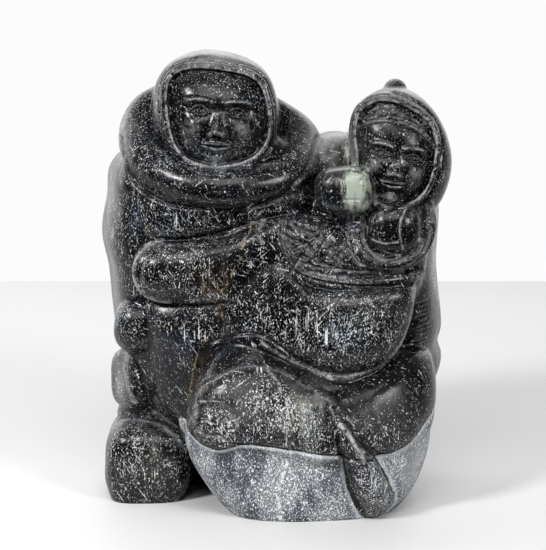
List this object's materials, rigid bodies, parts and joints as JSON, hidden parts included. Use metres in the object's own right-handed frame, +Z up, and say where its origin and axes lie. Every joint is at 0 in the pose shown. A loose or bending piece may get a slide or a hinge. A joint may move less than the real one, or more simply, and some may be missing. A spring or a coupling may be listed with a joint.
{
  "type": "mother and child carving",
  "caption": "Block of dark stone carved as a hooded mother and child standing close together, with a seal lying over a block of ice at their feet.",
  "frame": {"origin": "on the floor, under the middle of the outer box", "axes": "+Z up, +Y to the back, so the figures face -Y; +X to the viewer's right, towards the child"},
  "size_m": [0.1646, 0.1176, 0.2099],
  "materials": {
    "dark_stone": "polished"
  },
  "bodies": {
    "root": {"carving": "dark_stone"}
  },
  "joints": []
}
